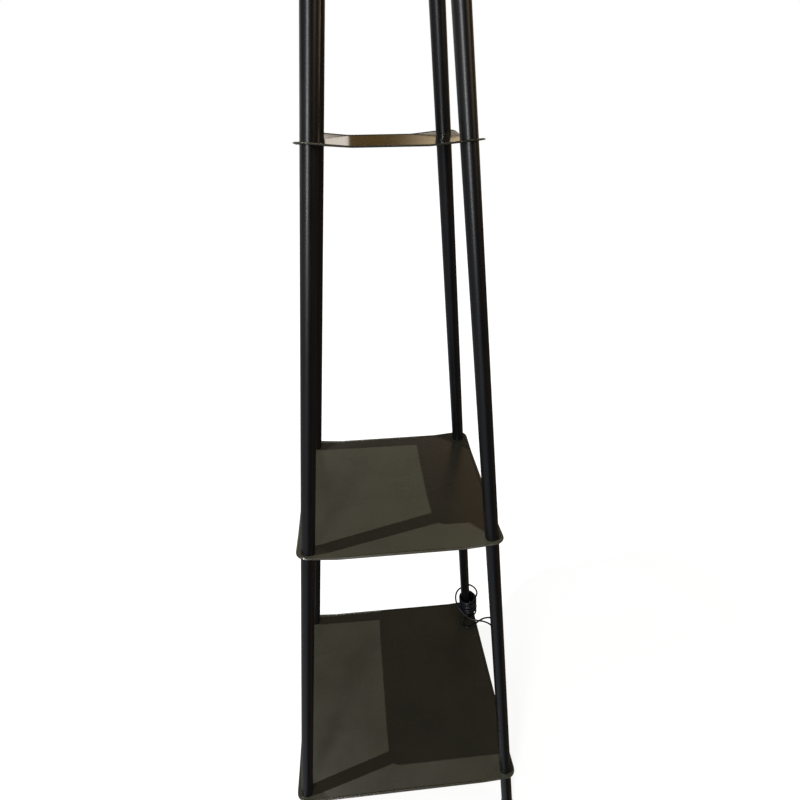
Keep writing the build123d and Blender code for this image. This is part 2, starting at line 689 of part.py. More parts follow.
FINIAL_BOTTOM = WASHER_PLANE_Z + SPIDER_T
with BuildPart() as finial:
    with BuildSketch(Plane.XZ):
        with BuildLine():
            base_line = Line((0, FINIAL_BOTTOM), (FINIAL_FOOT_R, FINIAL_BOTTOM))
            neck = Spline(
                base_line @ 1,
                (FINIAL_NECK_R, FINIAL_BOTTOM + FINIAL_NECK_RISE),
                (FINIAL_R, FINIAL_BOTTOM + FINIAL_BELLY_RISE),
                (0, FINIAL_BOTTOM + FINIAL_HEIGHT),
                tangents=((-0.2, 1), (-1, 0)),
            )
            Line(neck @ 1, base_line @ 0)
        make_face()
    revolve(axis=Axis.Z)
    with BuildSketch(Plane.XY.offset(FINIAL_BOTTOM)):
        Circle(HARP_STUB_D / 2 + HARP_STUB_CLEARANCE)
    extrude(amount=HARP_STUB_LENGTH - SPIDER_T + HARP_STUB_CLEARANCE, mode=Mode.SUBTRACT)
save(finial, "finial")

# ============================== lead and cord ==============================
GROMMET_OUT = TUBE_R + GROMMET_CLEARANCE + GROMMET_FLANGE_T
with BuildPart() as cord_grommets:
    for hole_plane in (lead_hole_plane, cord_hole_plane):
        with BuildSketch(hole_plane.offset(TUBE_BORE_R - 2 * GROMMET_FLANGE_T)):
            Circle(GROMMET_R)
        extrude(amount=GROMMET_OUT - TUBE_BORE_R + 2 * GROMMET_FLANGE_T)
        with BuildSketch(hole_plane.offset(TUBE_R + GROMMET_CLEARANCE)):
            Circle(GROMMET_FLANGE_R)
        extrude(amount=GROMMET_FLANGE_T)
    for hole_plane in (lead_hole_plane, cord_hole_plane):
        with BuildSketch(hole_plane):
            Circle(CORD_R + GROMMET_BORE_CLEARANCE)
        extrude(amount=TUBE_OD, mode=Mode.SUBTRACT)
save(cord_grommets, "cord_grommets")

# ---- Inner lead: down from the socket, across to the post and down inside its tubes ----
lead_inwards = lead_hole_plane.z_dir
axis_to_middle = reach(TOP_PLATE_Z - LEAD_HOLE_DROP / SLANT) / cos(TILT)
lead_under_plate = lead_plane.origin + lead_inwards * axis_to_middle
lead_exit = cord_plane.origin + cord_way_out * GROMMET_OUT
lead_points = [
    (0, 0, CAP_BOTTOM + BODY_START),
    (0, 0, lead_under_plate.Z),
    tuple(lead_plane.origin),
    tuple(cord_plane.origin),
    tuple(lead_exit),
]
with BuildPart() as inner_lead:
    with BuildLine():
        FilletPolyline(*lead_points, radius=[LEAD_BEND, LEAD_TURN, LEAD_TURN])
    with BuildSketch(Plane.XY.offset(CAP_BOTTOM + BODY_START)):
        Circle(CORD_R)
    sweep()
save(inner_lead, "inner_lead")

# ---- Cord: a short run over to the coil, and a tail that ends in the plug ----
# The points are from the post's centre on the bottom shelf, in X, Y and Z.
cord_foot = post_plane(LEAD_CORNER, BOTTOM_SHELF_Z).origin


def cord_tube(points, start_direction):
    """A round cord along a route of straight runs joined by arcs."""
    places = [tuple(cord_foot + Vector(*point)) for point in points]
    radii = bend_radii(places)
    with BuildPart() as tube:
        with BuildLine() as route:
            FilletPolyline(*places, radius=radii)
        with BuildSketch(Plane(places[0], z_dir=start_direction)):
            Circle(CORD_R)
        sweep()
    length = route.wires()[0].length
    print("cord length", round(length, 1))
    print("volume ratio", round(tube.part.volume / (pi * CORD_R**2 * length), 4))
    print("cord radii", [round(radius, 1) for radius in radii])
    return tube


# It comes straight out of the back of the post and goes round it on the right.
lead_in_points = [
    tuple(lead_exit - cord_foot),
    tuple(lead_exit - cord_foot + cord_way_out * LEAD_IN_RUN),
    (4.5, 25.0, 56.0),
    (16.5, 21.5, 53.0),
    (24.0, 11.0, 50.0),
    (24.0, -2.0, 46.5),
    (16.5, -13.5, 43.5),
]
cord_lead_in = cord_tube(lead_in_points, cord_way_out)
save(cord_lead_in, "cord_lead_in")

# It lies in a small loop on the shelf, swings out past the front post and back, goes up
# round the left of the post and hangs down behind the shelf.
tail_points = [
    (22.4, -2.0, 3.4),
    (20.0, -18.0, 2.9),
    (8.0, -27.5, 1.6),
    (-7.0, -29.5, 0.4),
    (-17.0, -39.0, -0.9),
    (-14.0, -52.0, -1.4),
    (-1.0, -55.5, -1.1),
    (10.5, -48.5, -0.2),
    (21.0, -40.0, 1.0),
    (34.0, -34.0, 1.0),
    (48.0, -31.0, -1.5),
    (62.5, -32.0, -8.5),
    (73.5, -37.0, -19.5),
    (77.5, -48.0, -31.0),
    (71.0, -60.0, -34.5),
    (60.0, -64.0, -26.5),
    (52.5, -59.0, -12.5),
    (43.0, -52.0, 0.5),
    (29.5, -46.5, 6.0),
    (15.0, -42.5, 6.5),
    (1.0, -36.5, 7.0),
    (-11.0, -27.5, 13.0),
    (-23.0, -14.5, 25.0),
    (-27.0, 1.5, 37.0),
    (-20.0, 17.0, 45.0),
    (-5.0, 26.5, 45.0),
    (5.5, 29.5, 32.0),
    (8.4, 28.0, 13.0),
    (8.6, 27.0, -8.0),
    (8.0, 27.0, -29.0),
]
cord_tail = cord_tube(tail_points, Vector(*tail_points[1]) - Vector(*tail_points[0]))
save(cord_tail, "cord_tail")

with BuildPart() as cord_coil:
    with BuildSketch(post_plane(LEAD_CORNER, BOTTOM_SHELF_Z).offset(SHELF_T / 2 + COIL_GAP)):
        with Locations(COIL_SHIFT):
            Circle(COIL_R)
        Circle(TUBE_R + COIL_GAP, mode=Mode.SUBTRACT)
    extrude(amount=COIL_HEIGHT)
save(cord_coil, "cord_coil")

# ---- Plug, hanging on the end of the tail with its flat side to the leg ----
plug_top = cord_foot + Vector(*tail_points[-1])
plug_way = Vector(*tail_points[-1]) - Vector(*tail_points[-2])
plug_plane = Plane(plug_top, x_dir=(1, 0, 0), z_dir=plug_way)
with BuildPart() as plug_body:
    with BuildSketch(plug_plane):
        Circle(PLUG_NECK_R)
    with BuildSketch(plug_plane.offset(PLUG_NECK)):
        RectangleRounded(PLUG_WIDTH, PLUG_T, PLUG_CORNER)
    loft()
    with BuildSketch(plug_plane.offset(PLUG_NECK)):
        RectangleRounded(PLUG_WIDTH, PLUG_T, PLUG_CORNER)
    extrude(amount=PLUG_LENGTH)
save(plug_body, "plug_body")

with BuildPart() as plug_blades:
    with BuildSketch(plug_plane.offset(PLUG_NECK + PLUG_LENGTH)):
        with GridLocations(BLADE_PITCH, 0, 2, 1):
            Rectangle(BLADE_T, BLADE_WIDTH)
    extrude(amount=BLADE_LENGTH)
save(plug_blades, "plug_blades")

print("overall height", round(FINIAL_BOTTOM + FINIAL_HEIGHT, 1))
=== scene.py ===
"""Dresses the shelf floor lamp: folded sheets, paint, cord and shade, in a plain pale studio.

Everything is in metres, in the lamp's own frame: the floor is z = 0 and -Y is the front.
"""

import math

import bmesh
import bpy
import numpy as np
from bpy.props import FloatProperty, FloatVectorProperty, IntProperty, PointerProperty
from mathutils import Matrix, Vector


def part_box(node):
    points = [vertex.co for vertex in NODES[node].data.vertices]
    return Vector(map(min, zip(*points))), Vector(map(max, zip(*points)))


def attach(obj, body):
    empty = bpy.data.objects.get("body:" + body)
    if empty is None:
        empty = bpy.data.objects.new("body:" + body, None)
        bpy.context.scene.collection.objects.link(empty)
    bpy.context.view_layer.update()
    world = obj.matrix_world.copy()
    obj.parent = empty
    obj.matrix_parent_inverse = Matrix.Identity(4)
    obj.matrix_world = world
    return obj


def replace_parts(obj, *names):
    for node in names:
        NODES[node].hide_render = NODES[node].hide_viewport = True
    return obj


bl_info = {
    "name": "Shelf floor lamp",
    "version": (1, 0, 0),
    "blender": (4, 5, 0),
    "location": "View3D > Sidebar > Lamp",
    "description": "Sheets, paint, cord and shade of a floor lamp with three shelves",
    "category": "Object",
}

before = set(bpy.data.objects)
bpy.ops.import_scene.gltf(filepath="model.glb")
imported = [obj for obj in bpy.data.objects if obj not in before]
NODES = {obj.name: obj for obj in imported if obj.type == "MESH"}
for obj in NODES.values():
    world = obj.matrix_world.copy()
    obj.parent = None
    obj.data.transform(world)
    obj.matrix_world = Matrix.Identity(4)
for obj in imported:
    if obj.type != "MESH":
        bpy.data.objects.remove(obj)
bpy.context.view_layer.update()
CORNERS = ("left_front", "right_front", "right_back", "left_back")

# ---- The right back post, which the cord is wound on ----
LEAN = 0.0948  # how far a post goes inwards along x, and along y, for each metre up
FLOOR_SPACING = 0.3683  # between the posts' centres at the floor
BOTTOM_SHELF = 0.102
POST_FOOT = Vector((FLOOR_SPACING / 2 - LEAN * BOTTOM_SHELF,) * 2 + (BOTTOM_SHELF,))
POST_UP = Vector((-LEAN, -LEAN, 1)).normalized()
POST_OUT = Vector((1, 1, 2 * LEAN)).normalized()
POST_SIDE = POST_UP.cross(POST_OUT)

# ---- The three sheets ----
SHELF_HEIGHTS = {"bottom_shelf": BOTTOM_SHELF, "middle_shelf": 0.614, "top_shelf": 1.106}
TILT = math.atan(LEAN * math.sqrt(2))  # of a folded corner, square to its post
EAR = 0.0147  # the straight part of a folded corner, inwards of the post's centre
FOLD = 0.006  # the width of the bend between the flat middle and a corner
SHEET_MARGIN = 0.016  # from a post's centre to the sheet's edge
BEAD_ROOM = 1.3  # the rings along the edge reach this many rim widths inwards
AROUND_SHEET = 360  # steps round the outline
FLAT_RINGS = 28
FOLD_RINGS = 9
EAR_RINGS = 12
BEAD_RINGS = 17
EDGE_RINGS = 9

# ---- Paint ----
POST_ROUGHNESS = 0.34
SHEET_ROUGHNESS = 0.27
GRAZING = (0.80, 0.92)  # where Layer Weight's Facing turns from a steep to a grazing view
GRAZING_SHARE = 0.45  # of the sheets' roughness that is left there
SCRATCHES = ((0.4, (800.0, 26.0, 26.0)), (-1.1, (600.0, 34.0, 34.0)))  # turn, and lines a metre

# ---- The cord's route, given as points from the post's centre on the bottom shelf ----
LEAD_IN = (
    (-0.0054, 0.0055, 0.0575),
    (-0.0055, 0.0175, 0.0565),
    (0.0045, 0.0250, 0.0500),
    (0.0165, 0.0215, 0.0475),
    (0.0240, 0.0110, 0.0465),
    (0.0240, -0.0020, 0.0465),
    (0.0165, -0.0135, 0.0465),
)
TAIL = (
    (0.0224, -0.0020, 0.0034),
    (0.0200, -0.0180, 0.0029),
    (0.0080, -0.0275, 0.0016),
    (-0.0070, -0.0295, 0.0004),
    (-0.0170, -0.0390, 0.0004),
    (-0.0140, -0.0520, 0.0004),
    (-0.0010, -0.0555, 0.0004),
    (0.0105, -0.0485, 0.0004),
    (0.0210, -0.0400, 0.0010),
    (0.0340, -0.0340, 0.0010),
    (0.0480, -0.0310, -0.0015),
    (0.0625, -0.0320, -0.0085),
    (0.0735, -0.0370, -0.0195),
    (0.0775, -0.0480, -0.0310),
    (0.0710, -0.0600, -0.0345),
    (0.0600, -0.0630, -0.0200),
    (0.0525, -0.0575, -0.0055),
    (0.0430, -0.0515, 0.0045),
    (0.0295, -0.0465, 0.0070),
    (0.0150, -0.0425, 0.0065),
    (0.0010, -0.0365, 0.0070),
    (-0.0110, -0.0275, 0.0120),
    (-0.0225, -0.0145, 0.0220),
    (-0.0265, 0.0015, 0.0325),
    (-0.0200, 0.0170, 0.0395),
    (-0.0050, 0.0265, 0.0405),
    (0.0055, 0.0295, 0.0300),
    (0.0084, 0.0280, 0.0130),
    (0.0086, 0.0270, -0.0080),
    (0.0080, 0.0270, -0.0290),
)
WINDING_CENTRE = (0.0014, -0.0057)  # from the post's axis, outwards and sideways
WINDING_START = math.radians(-117.3)
WINDING_END = math.radians(-11.5)
WINDING_TOP = 0.0455
WINDING_FOOT = 0.0032
POINTS_PER_TURN = 12
FREE_SIDE = math.radians(-76.0)  # where the turns stand off the post
GOLDEN_TURN = math.pi * (3 - math.sqrt(5))

# ---- The photograph's camera ----
PHOTO_SIZE = 800
PHOTO_CENTRE_X = 402.446
FOCAL_PIXELS = 534.609
SENSOR = 36.0
CAMERA_PLACE = Vector((-0.044423, -0.662515, 1.143314))
CAMERA_YAW = 0.0907
CAMERA_PITCH = 0.5126
CAMERA_ROLL = -0.0135

# ---- The room that shows in the paint ----
EVEN_LIGHT = (0.19, 0.19, 0.195)
ROOM_LEFT = (0.26, 0.275, 0.30)  # the window's side, as the posts mirror it
ROOM_MIDDLE = (0.012, 0.012, 0.012)
ROOM_RIGHT = (0.10, 0.07, 0.045)
CEILING = (0.06, 0.055, 0.045)
DISTANT_BROWN = (0.095, 0.056, 0.016)
DISTANCE_STARTS = 5.0  # in metres along a ceiling one metre above the sheet, like the panes
CRISP = 0.02  # half the width over which a pane's edge fades
SOFT = 0.08
HAZY = 0.7
PANES = (
    # the brown wall on the right, which the middle sheet shows
    (((2.0, 0.9), (2.0, 1.8), (0.28, 1.8), (0.20, 0.9)), (0.42, 0.24, 0.13), SOFT),
    # the light wall low down in the distance, which the top sheet's folded corners show
    (((0.5, 1.9), (0.5, 4.0), (-9.0, 4.0), (-9.0, 1.9)), (0.98, 0.88, 0.76), SOFT),
    (((9.0, 1.9), (9.0, 4.0), (0.5, 4.0), (0.5, 1.9)), (0.55, 0.42, 0.27), SOFT),
    # a window and a wall still lower, which its flat middle shows
    (((-0.01, 4.0), (0.80, 99.0), (-99.0, 99.0), (-99.0, 4.0)), (0.95, 0.85, 0.74), CRISP),
    (((99.0, 6.0), (99.0, 99.0), (13.0, 99.0), (0.8, 6.0)), (0.72, 0.55, 0.35), HAZY),
)

# ---- The stage ----
CEILING_LAMP_PLACE = (-0.70, -0.113, 3.16)
CEILING_LAMP_RADIUS = 0.006
CEILING_LAMP_WATTS = 235.0
WHITE = (1.0, 1.0, 1.0)
SOFT_LAMPS = {  # place, width and height, watts and colour
    "window": ((-1.45, -3.6, 1.9), (0.7, 2.0), 70.0, WHITE),
    "fill": ((2.8, -1.6, 2.4), (1.5, 1.5), 14.0, (1.0, 0.74, 0.48)),
}
SOFT_LAMPS_AIM = (0, 0, 0.8)
FLOOR_HALF = 8.0
FLOOR_COLOUR = (0.40, 0.40, 0.40)
FLOOR_GLOW = (0.86, 1.0)  # by the lamp and far away, on top of the light that falls on it
FLOOR_GLOW_AT = (0.8, 3.5)  # metres from the lamp


# ============================== sizes and colours a user may change ==============================
def colour_property(name, description, default):
    return FloatVectorProperty(
        name=name, description=description, subtype="COLOR", size=3, min=0, max=1, default=default
    )


class LampFinish(bpy.types.PropertyGroup):
    """Colours of the lamp's finishes."""

    post_paint: colour_property("Posts", "Satin paint on the tubes", (0.005, 0.005, 0.006))
    shelf_paint: colour_property("Shelves", "Satin paint on the sheets", (0.038, 0.0365, 0.0245))
    cord_sheath: colour_property("Cord", "Sheath of the cord and the plug", (0.003, 0.004, 0.008))
    shade_cloth: colour_property("Shade", "Linen on the outside of the shade", (0.80, 0.76, 0.67))
    shade_lining: colour_property("Lining", "Inside of the shade", (0.86, 0.85, 0.82))


class LampSheets(bpy.types.PropertyGroup):
    """Sizes of the shelves' sheets."""

    thickness: FloatProperty(
        name="Thickness", description="Of the steel sheet", unit="LENGTH", default=0.0012
    )
    rim_width: FloatProperty(
        name="Rim width", description="Of the bead pressed along the edge", unit="LENGTH",
        default=0.0032,
    )
    rim_rise: FloatProperty(
        name="Rim rise", description="Height of the bead along the edge", unit="LENGTH",
        default=0.0006,
    )


class LampCord(bpy.types.PropertyGroup):
    """Sizes of the cord."""

    diameter: FloatProperty(
        name="Diameter", description="Outside of the sheath", unit="LENGTH", default=0.0036
    )
    turns: IntProperty(name="Turns", description="Whole turns round the post", default=12)
    turn_radius: FloatProperty(
        name="Turn radius", description="From a turn's middle to its centreline", unit="LENGTH",
        default=0.0174,
    )
    slack: FloatProperty(
        name="Slack", description="How far the turns differ where they stand off the post",
        unit="LENGTH", default=0.0015,
    )


class LampShade(bpy.types.PropertyGroup):
    """Sizes of the shade's cloth."""

    tape_width: FloatProperty(
        name="Tape width", description="Cloth tape round the rims", unit="LENGTH", default=0.009
    )
    tape_rise: FloatProperty(
        name="Tape rise", description="How far the tape stands proud", unit="LENGTH", default=0.0007
    )
    seam_width: FloatProperty(
        name="Seam width", description="Overlap of the cloth at the back", unit="LENGTH",
        default=0.012,
    )
    thread_pitch: FloatProperty(
        name="Thread pitch", description="From one thread to the next", unit="LENGTH",
        default=0.0011,
    )


# ============================== meshes ==============================
def grid_mesh(name, points, wrap_u, wrap_v, uvs=None):
    """A mesh from an array of points, rows by columns. Wrapped sides are joined, poles are merged."""
    rows, columns = points.shape[:2]
    row = np.arange(rows if wrap_u else rows - 1)[:, None]
    column = np.arange(columns if wrap_v else columns - 1)[None, :]
    next_row = (row + 1) % rows
    next_column = (column + 1) % columns
    faces = np.stack(
        [
            row * columns + column,
            next_row * columns + column,
            next_row * columns + next_column,
            row * columns + next_column,
        ],
        axis=-1,
    ).reshape(-1, 4)
    mesh = bpy.data.meshes.new(name)
    mesh.from_pydata(points.reshape(-1, 3).tolist(), [], faces.tolist())
    if uvs is not None:
        layer = mesh.uv_layers.new(name="UVMap")
        layer.data.foreach_set("uv", uvs.reshape(-1).astype(np.float32))
    shape = bmesh.new()
    shape.from_mesh(mesh)
    bmesh.ops.remove_doubles(shape, verts=shape.verts, dist=1e-6)
    bmesh.ops.recalc_face_normals(shape, faces=shape.faces)
    shape.to_mesh(mesh)
    shape.free()
    mesh.polygons.foreach_set("use_smooth", np.ones(len(mesh.polygons), bool))
    piece = bpy.data.objects.new(name, mesh)
    bpy.context.scene.collection.objects.link(piece)
    return piece


def along(start, x_way, y_way, z_way, local):
    """Points given as x, y and z along three directions from a start, in the lamp's frame."""
    return np.array(start) + local @ np.array([x_way, y_way, z_way])


def triples(items, field):
    """A field of three numbers from a mesh's vertices or faces, one row each."""
    values = np.zeros(len(items) * 3, np.float32)
    items.foreach_get(field, values)
    return values.reshape(-1, 3)


# ============================== materials ==============================
def new_material(name):
    """An empty node material with its Principled shader and output, as (nodes, links, shader)."""
    material = bpy.data.materials.new(name)
    material.use_nodes = True
    tree = material.node_tree
    tree.nodes.clear()
    output = tree.nodes.new("ShaderNodeOutputMaterial")
    shader = tree.nodes.new("ShaderNodeBsdfPrincipled")
    tree.links.new(shader.outputs["BSDF"], output.inputs["Surface"])
    return material, tree, shader


def noise(tree, vector, scale, detail=2.0, roughness=0.5):
    """The value of a noise texture with so many patches to the metre."""
    texture = tree.nodes.new("ShaderNodeTexNoise")
    texture.inputs["Scale"].default_value = scale
    texture.inputs["Detail"].default_value = detail
    texture.inputs["Roughness"].default_value = roughness
    tree.links.new(vector, texture.inputs["Vector"])
    return texture.outputs["Fac"]


def remap(tree, value, low, high, to_low, to_high):
    """The value's stretch from low to high, taken to another stretch and clamped."""
    node = tree.nodes.new("ShaderNodeMapRange")
    node.inputs["From Min"].default_value = low
    node.inputs["From Max"].default_value = high
    node.inputs["To Min"].default_value = to_low
    node.inputs["To Max"].default_value = to_high
    tree.links.new(value, node.inputs["Value"])
    return node.outputs["Result"]


def maths(tree, operation, first, second=0.0):
    """The result of an operation on two values, each a socket or a number."""
    node = tree.nodes.new("ShaderNodeMath")
    node.operation = operation
    for socket, value in zip(node.inputs, (first, second)):
        if isinstance(value, bpy.types.NodeSocket):
            tree.links.new(value, socket)
        else:
            socket.default_value = value
    return node.outputs["Value"]


def length_of(tree, vector):
    """A vector's length."""
    node = tree.nodes.new("ShaderNodeVectorMath")
    node.operation = "LENGTH"
    tree.links.new(vector, node.inputs[0])
    return node.outputs["Value"]


def mix_colours(tree, share, first, second):
    """A mix of two colours, each a socket or three numbers."""
    node = tree.nodes.new("ShaderNodeMix")
    node.data_type = "RGBA"
    tree.links.new(share, node.inputs["Factor"])
    for socket, colour in ((node.inputs["A"], first), (node.inputs["B"], second)):
        if isinstance(colour, bpy.types.NodeSocket):
            tree.links.new(colour, socket)
        else:
            socket.default_value = (*colour, 1)
    return node.outputs["Result"]


def bump(tree, height, strength, distance):
    """A bump normal from a height of up to a distance in metres."""
    node = tree.nodes.new("ShaderNodeBump")
    node.inputs["Strength"].default_value = strength
    node.inputs["Distance"].default_value = distance
    tree.links.new(height, node.inputs["Height"])
    return node.outputs["Normal"]


def mapped(tree, vector, stretch, turn=0.0):
    """A vector turned about z and squeezed along each axis."""
    mapping = tree.nodes.new("ShaderNodeMapping")
    mapping.inputs["Rotation"].default_value = (0, 0, turn)
    mapping.inputs["Scale"].default_value = stretch
    tree.links.new(vector, mapping.inputs["Vector"])
    return mapping.outputs["Vector"]


def object_place(tree, stretch=(1, 1, 1)):
    """Object coordinates, squeezed along each axis."""
    coordinates = tree.nodes.new("ShaderNodeTexCoord")
    return mapped(tree, coordinates.outputs["Object"], stretch)


def paint(name, colour, roughness, dust=0.4):
    """Sprayed paint: a faint orange peel, roughness that wanders, and specks of dust."""
    material, tree, shader = new_material(name)
    place = object_place(tree)
    wander = noise(tree, place, 14.0, 4.0)
    specks = noise(tree, place, 900.0, 1.0)
    dust_share = remap(tree, specks, 0.76 - 0.06 * dust, 0.84, 0.0, 0.35)
    tint = mix_colours(tree, wander, [0.82 * c for c in colour], [1.15 * c for c in colour])
    pale = [0.10 + c for c in colour]
    tree.links.new(mix_colours(tree, dust_share, tint, pale), shader.inputs["Base Color"])
    rough = remap(tree, wander, 0.3, 0.7, roughness * 0.9, roughness * 1.12)
    tree.links.new(rough, shader.inputs["Roughness"])
    skin = noise(tree, place, 420.0, 2.0)
    tree.links.new(bump(tree, skin, 0.02, 0.0002), shader.inputs["Normal"])
    shader.inputs["Specular IOR Level"].default_value = 0.5
    return material


def sheet_paint(name, colour, roughness):
    """Satin paint on sheet steel, with fine rubbed scratches, dust and smears.

    Seen at a grazing angle, satin paint mirrors more clearly, so its roughness falls there.
    """
    material, tree, shader = new_material(name)
    place = object_place(tree)
    smears = noise(tree, place, 9.0, 5.0, 0.6)
    scratches = 0.0
    for turn, stretch in SCRATCHES:
        lines = noise(tree, mapped(tree, place, stretch, turn), 1.0, 1.0)
        scratches = maths(tree, "MAXIMUM", scratches, remap(tree, lines, 0.76, 0.86, 0.0, 0.6))
    specks = remap(tree, noise(tree, place, 700.0, 1.0), 0.72, 0.80, 0.0, 0.5)
    tint = mix_colours(tree, smears, [0.74 * c for c in colour], [1.3 * c for c in colour])
    marked = mix_colours(tree, scratches, tint, [0.03 + c for c in colour])
    dusty = mix_colours(tree, specks, marked, [0.07 + c for c in colour])
    tree.links.new(dusty, shader.inputs["Base Color"])
    view = tree.nodes.new("ShaderNodeLayerWeight")
    calm = remap(tree, view.outputs["Facing"], *GRAZING, 1.0, GRAZING_SHARE)
    rough = remap(tree, smears, 0.3, 0.7, roughness * 0.85, roughness * 1.2)
    tree.links.new(maths(tree, "MULTIPLY", calm, rough), shader.inputs["Roughness"])
    skin = noise(tree, place, 60.0, 2.0)
    tree.links.new(bump(tree, skin, 0.015, 0.0002), shader.inputs["Normal"])
    return material


def metal(name, colour, roughness, stretch=(1, 1, 1)):
    """Bare or plated metal with fine drawing lines along one way."""
    material, tree, shader = new_material(name)
    shader.inputs["Metallic"].default_value = 1.0
    lines = noise(tree, object_place(tree, stretch), 500.0, 3.0)
    wander = noise(tree, object_place(tree), 60.0, 3.0)
    tint = mix_colours(tree, wander, [0.9 * c for c in colour], colour)
    tree.links.new(tint, shader.inputs["Base Color"])
    rough = remap(tree, lines, 0.3, 0.7, roughness * 0.8, roughness * 1.25)
    tree.links.new(rough, shader.inputs["Roughness"])
    tree.links.new(bump(tree, lines, 0.12, 0.0001), shader.inputs["Normal"])
    return material


def plastic(name, colour, roughness, relief=0.15):
    """Moulded plastic with a fine grain."""
    material, tree, shader = new_material(name)
    place = object_place(tree)
    grain = noise(tree, place, 1200.0)
    wander = noise(tree, place, 45.0, 3.0)
    tint = mix_colours(tree, wander, [0.9 * c for c in colour], [min(1, 1.08 * c) for c in colour])
    tree.links.new(tint, shader.inputs["Base Color"])
    tree.links.new(
        remap(tree, wander, 0.3, 0.7, roughness * 0.9, roughness * 1.15), shader.inputs["Roughness"]
    )
    tree.links.new(bump(tree, grain, relief, 0.0001), shader.inputs["Normal"])
    return material


def sheath(name, colour):
    """The cord's soft plastic: a dull skin with faint rings and a little dust."""
    material, tree, shader = new_material(name)
    place = object_place(tree)
    wander = noise(tree, place, 130.0, 3.0)
    specks = remap(tree, noise(tree, place, 1500.0, 1.0), 0.70, 0.80, 0.0, 0.15)
    tint = mix_colours(tree, wander, colour, [1.6 * c for c in colour])
    tree.links.new(
        mix_colours(tree, specks, tint, [0.06 + c for c in colour]), shader.inputs["Base Color"]
    )
    tree.links.new(remap(tree, wander, 0.3, 0.7, 0.34, 0.42), shader.inputs["Roughness"])
    tree.links.new(bump(tree, wander, 0.2, 0.0003), shader.inputs["Normal"])
    return material


def linen(name, colour, pitch):
    """Plain weave on the piece's own UV map, in metres: threads over and under, with slubs. Its
    colour is painted shade, darker in the gaps between threads and lighter on their crowns, plus the
    slubs' own tone.
    """
    material, tree, shader = new_material(name)
    uv = tree.nodes.new("ShaderNodeUVMap")
    uv.uv_map = "UVMap"
    parts = tree.nodes.new("ShaderNodeSeparateXYZ")
    tree.links.new(uv.outputs["UV"], parts.inputs["Vector"])
    warp, weft = (
        maths(tree, "SINE", maths(tree, "MULTIPLY", parts.outputs[axis], math.pi / pitch))
        for axis in ("X", "Y")
    )
    checks = maths(tree, "MULTIPLY", warp, weft)
    threads = maths(tree, "ADD", maths(tree, "ABSOLUTE", warp), maths(tree, "ABSOLUTE", weft))
    weave = maths(tree, "ADD", maths(tree, "MULTIPLY", checks, 0.5), threads)
    slub = 0.0
    for stretch in ((22.0, 1.0, 1.0), (1.0, 22.0, 1.0)):
        thick = noise(tree, mapped(tree, uv.outputs["UV"], stretch), 28.0, 3.0)
        slub = maths(tree, "ADD", slub, thick)
    # painted shade: the colour darkens in the gaps between threads, and the slubs add the yarn's own
    # uneven tone
    painted_gap_shade = maths(tree, "MULTIPLY", weave, 0.12)
    shade = maths(tree, "ADD", painted_gap_shade, maths(tree, "MULTIPLY", slub, 0.55))
    share = remap(tree, shade, 0.35, 0.95, 0.0, 1.0)
    tree.links.new(
        mix_colours(tree, share, [0.72 * c for c in colour], [min(1, 1.07 * c) for c in colour]),
        shader.inputs["Base Color"],
    )
    relief = maths(tree, "ADD", weave, maths(tree, "MULTIPLY", slub, 1.6))
    tree.links.new(bump(tree, relief, 0.55, 0.0004), shader.inputs["Normal"])
    shader.inputs["Roughness"].default_value = 0.88
    shader.inputs["Sheen Weight"].default_value = 0.25
    shader.inputs["Sheen Roughness"].default_value = 0.5
    return material


def paper(name, colour):
    """Pressed paper or a stiff lining: matt, with a soft mottle."""
    material, tree, shader = new_material(name)
    place = object_place(tree)
    mottle = noise(tree, place, 260.0, 4.0)
    tint = mix_colours(tree, mottle, [0.86 * c for c in colour], colour)
    tree.links.new(tint, shader.inputs["Base Color"])
    tree.links.new(bump(tree, mottle, 0.2, 0.0002), shader.inputs["Normal"])
    shader.inputs["Roughness"].default_value = 0.8
    return material


def milky(name, colour):
    """The bulb's diffuser: white plastic that light sinks into a little."""
    material, tree, shader = new_material(name)
    place = object_place(tree)
    haze = noise(tree, place, 90.0, 3.0)
    tree.links.new(
        mix_colours(tree, haze, [0.95 * c for c in colour], colour), shader.inputs["Base Color"]
    )
    tree.links.new(remap(tree, haze, 0.3, 0.7, 0.32, 0.42), shader.inputs["Roughness"])
    shader.inputs["Subsurface Weight"].default_value = 0.15
    shader.inputs["Subsurface Radius"].default_value = (0.004, 0.003, 0.002)
    return material


def dress(names, material):
    """Gives CAD nodes one material."""
    for name in names:
        node = NODES[name]
        node.data.materials.clear()
        node.data.materials.append(material)


# ============================== operators ==============================
class LAMP_OT_dress_posts(bpy.types.Operator):
    """Paint the posts and legs, and give the feet their plastic"""

    bl_idname = "lamp.dress_posts"
    bl_label = "Dress the posts"

    def execute(self, context):
        finish = context.scene.lamp_finish
        kinds = ("leg", "lower_post", "middle_post", "upper_post")
        tubes = [f"{kind}_{corner}" for kind in kinds for corner in CORNERS]
        dress(tubes, paint("post_paint", finish.post_paint, POST_ROUGHNESS))
        dress([f"foot_{corner}" for corner in CORNERS], plastic("foot_plastic", (0.02,) * 3, 0.6))
        dress(["tube_bushes"], plastic("bush_plastic", (0.05,) * 3, 0.6))
        return {"FINISHED"}


class LAMP_OT_make_shelves(bpy.types.Operator):
    """Make the three folded sheets, and paint them and the top plate"""

    bl_idname = "lamp.make_shelves"
    bl_label = "Make the shelves"

    def execute(self, context):
        sizes = context.scene.lamp_sheets
        coat = sheet_paint("shelf_paint", context.scene.lamp_finish.shelf_paint, SHEET_ROUGHNESS)
        for name, height in SHELF_HEIGHTS.items():
            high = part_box(name)[1]
            piece = folded_sheet(name + "_sheet", sizes, height, high.x)
            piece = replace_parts(piece, name)
            piece.data.materials.append(coat)
            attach(piece, "stand")
        dress(("top_plate",), coat)
        return {"FINISHED"}


